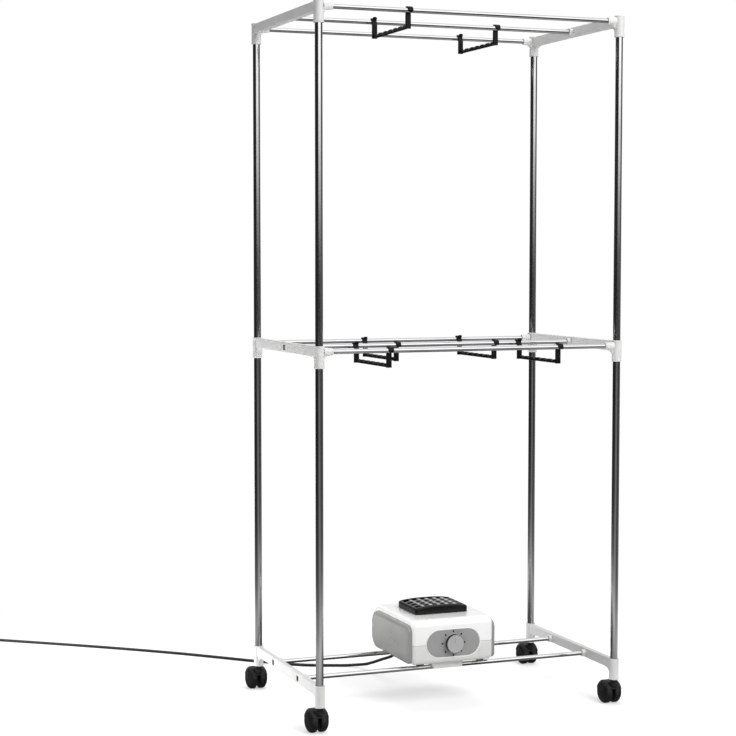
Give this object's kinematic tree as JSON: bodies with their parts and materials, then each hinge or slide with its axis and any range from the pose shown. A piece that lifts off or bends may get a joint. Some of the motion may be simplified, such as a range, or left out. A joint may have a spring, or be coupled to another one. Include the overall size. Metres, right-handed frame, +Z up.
{
  "type": "portable clothes dryer",
  "caption": "Two-tier tubular clothes dryer on twin-wheel casters, with sliding garment hooks and an electric fan heater on its bottom rails.",
  "frame": {"origin": "on the floor under the middle of the box round the dryer, cord and plug left out", "axes": "+X to the right across the rack, +Y from its front to its back, +Z up"},
  "size_m": [1.3639, 1.2064, 1.5],
  "materials": {
    "chromed_tube": "polished chrome plate",
    "plain_steel": "plain drawn steel",
    "white_moulding": "satin moulded white",
    "white_casing": "glossy white",
    "grey_cover": "satin mid grey",
    "grey_panel": "satin mid grey with dark dial marks",
    "grey_knob": "satin grey with a pale rim",
    "black_hook": "satin black",
    "black_caster": "satin black",
    "black_wheel": "satin black",
    "black_grille": "satin black",
    "black_cord": "smooth black jacket",
    "dark_frame": "heat-resistant dark plastic",
    "alloy_fin": "plain fins",
    "white_fan": "natural white",
    "cream_switch": "cream switch body"
  },
  "bodies": {
    "rack": {"post_lower_front_left": "chromed_tube", "post_lower_front_right": "chromed_tube", "post_lower_back_left": "chromed_tube", "post_lower_back_right": "chromed_tube", "post_upper_front_left": "chromed_tube", "post_upper_front_right": "chromed_tube", "post_upper_back_left": "chromed_tube", "post_upper_back_right": "chromed_tube", "side_beam_top_left": "white_moulding", "side_beam_top_right": "white_moulding", "side_beam_middle_left": "white_moulding", "side_beam_middle_right": "white_moulding", "side_beam_bottom_left": "white_moulding", "side_beam_bottom_right": "white_moulding", "rail_top_front": "chromed_tube", "rail_top_centre": "chromed_tube", "rail_top_back": "chromed_tube", "rail_middle_front": "chromed_tube", "rail_middle_centre": "chromed_tube", "rail_middle_back": "chromed_tube", "rail_bottom_front": "chromed_tube", "rail_bottom_back": "chromed_tube", "upper_casing": "white_casing", "lower_casing": "white_casing", "left_cover": "grey_cover", "right_cover": "grey_cover", "control_panel": "grey_panel", "timer_switch": "cream_switch", "outlet_grille": "black_grille", "element_frame": "dark_frame", "heating_element": "alloy_fin", "fan_motor": "plain_steel", "cord_gland": "black_cord", "power_cord": "black_cord", "power_cord_coil": "black_cord", "mains_plug": "black_cord"},
    "caster_front_left": {"caster_body_front_left": "black_caster", "caster_axle_front_left": "plain_steel"},
    "wheel_front_left_outer": {"wheel_front_left_outer": "black_wheel"},
    "wheel_front_left_inner": {"wheel_front_left_inner": "black_wheel"},
    "caster_front_right": {"caster_body_front_right": "black_caster", "caster_axle_front_right": "plain_steel"},
    "wheel_front_right_outer": {"wheel_front_right_outer": "black_wheel"},
    "wheel_front_right_inner": {"wheel_front_right_inner": "black_wheel"},
    "caster_back_left": {"caster_body_back_left": "black_caster", "caster_axle_back_left": "plain_steel"},
    "wheel_back_left_outer": {"wheel_back_left_outer": "black_wheel"},
    "wheel_back_left_inner": {"wheel_back_left_inner": "black_wheel"},
    "caster_back_right": {"caster_body_back_right": "black_caster", "caster_axle_back_right": "plain_steel"},
    "wheel_back_right_outer": {"wheel_back_right_outer": "black_wheel"},
    "wheel_back_right_inner": {"wheel_back_right_inner": "black_wheel"},
    "hook_top_1": {"hook_top_1": "black_hook"},
    "hook_top_2": {"hook_top_2": "black_hook"},
    "hook_middle_1": {"hook_middle_1": "black_hook"},
    "hook_middle_2": {"hook_middle_2": "black_hook"},
    "hook_middle_3": {"hook_middle_3": "black_hook"},
    "hook_middle_4": {"hook_middle_4": "black_hook"},
    "timer_knob": {"timer_knob": "grey_knob"},
    "fan_impeller": {"fan_impeller": "white_fan"}
  },
  "joints": [
    {"name": "swivel_front_left", "type": "hinge", "parent": "rack", "child": "caster_front_left", "pos_m": [-0.3435, -0.2215, 0], "axis": [0, 0, 1], "continuous": true},
    {"name": "roll_front_left_outer", "type": "hinge", "parent": "caster_front_left", "child": "wheel_front_left_outer", "pos_m": [-0.3435, -0.2015, 0.02413], "axis": [1, 0, 0], "continuous": true},
    {"name": "roll_front_left_inner", "type": "hinge", "parent": "caster_front_left", "child": "wheel_front_left_inner", "pos_m": [-0.3435, -0.2015, 0.02413], "axis": [1, 0, 0], "continuous": true},
    {"name": "swivel_front_right", "type": "hinge", "parent": "rack", "child": "caster_front_right", "pos_m": [0.3435, -0.2215, 0], "axis": [0, 0, 1], "continuous": true},
    {"name": "roll_front_right_outer", "type": "hinge", "parent": "caster_front_right", "child": "wheel_front_right_outer", "pos_m": [0.3435, -0.2015, 0.02413], "axis": [1, 0, 0], "continuous": true},
    {"name": "roll_front_right_inner", "type": "hinge", "parent": "caster_front_right", "child": "wheel_front_right_inner", "pos_m": [0.3435, -0.2015, 0.02413], "axis": [1, 0, 0], "continuous": true},
    {"name": "swivel_back_left", "type": "hinge", "parent": "rack", "child": "caster_back_left", "pos_m": [-0.3435, 0.1875, 0], "axis": [0, 0, 1], "continuous": true},
    {"name": "roll_back_left_outer", "type": "hinge", "parent": "caster_back_left", "child": "wheel_back_left_outer", "pos_m": [-0.3435, 0.2075, 0.02413], "axis": [1, 0, 0], "continuous": true},
    {"name": "roll_back_left_inner", "type": "hinge", "parent": "caster_back_left", "child": "wheel_back_left_inner", "pos_m": [-0.3435, 0.2075, 0.02413], "axis": [1, 0, 0], "continuous": true},
    {"name": "swivel_back_right", "type": "hinge", "parent": "rack", "child": "caster_back_right", "pos_m": [0.3435, 0.1875, 0], "axis": [0, 0, 1], "continuous": true},
    {"name": "roll_back_right_outer", "type": "hinge", "parent": "caster_back_right", "child": "wheel_back_right_outer", "pos_m": [0.3435, 0.2075, 0.02413], "axis": [1, 0, 0], "continuous": true},
    {"name": "roll_back_right_inner", "type": "hinge", "parent": "caster_back_right", "child": "wheel_back_right_inner", "pos_m": [0.3435, 0.2075, 0.02413], "axis": [1, 0, 0], "continuous": true},
    {"name": "slide_hook_top_1", "type": "slide", "parent": "rack", "child": "hook_top_1", "axis": [1, 0, 0], "range_m": [-0.163, 0.1415]},
    {"name": "slide_hook_top_2", "type": "slide", "parent": "rack", "child": "hook_top_2", "axis": [1, 0, 0], "range_m": [-0.1415, 0.158]},
    {"name": "slide_hook_middle_1", "type": "slide", "parent": "rack", "child": "hook_middle_1", "axis": [1, 0, 0], "range_m": [-0.121, 0.044]},
    {"name": "slide_hook_middle_2", "type": "slide", "parent": "rack", "child": "hook_middle_2", "axis": [1, 0, 0], "range_m": [-0.044, 0.1125]},
    {"name": "slide_hook_middle_3", "type": "slide", "parent": "rack", "child": "hook_middle_3", "axis": [1, 0, 0], "range_m": [-0.1125, 0.0215]},
    {"name": "slide_hook_middle_4", "type": "slide", "parent": "rack", "child": "hook_middle_4", "axis": [1, 0, 0], "range_m": [-0.0215, 0.103]},
    {"name": "turn_timer_knob", "type": "hinge", "parent": "rack", "child": "timer_knob", "pos_m": [-0.003, -0.1338, 0.146], "axis": [0, 1, 0], "range_deg": [0, 300]},
    {"name": "spin_fan_impeller", "type": "hinge", "parent": "rack", "child": "fan_impeller", "pos_m": [-0.003, -0.017, 0.14], "axis": [0, 0, 1], "continuous": true}
  ]
}
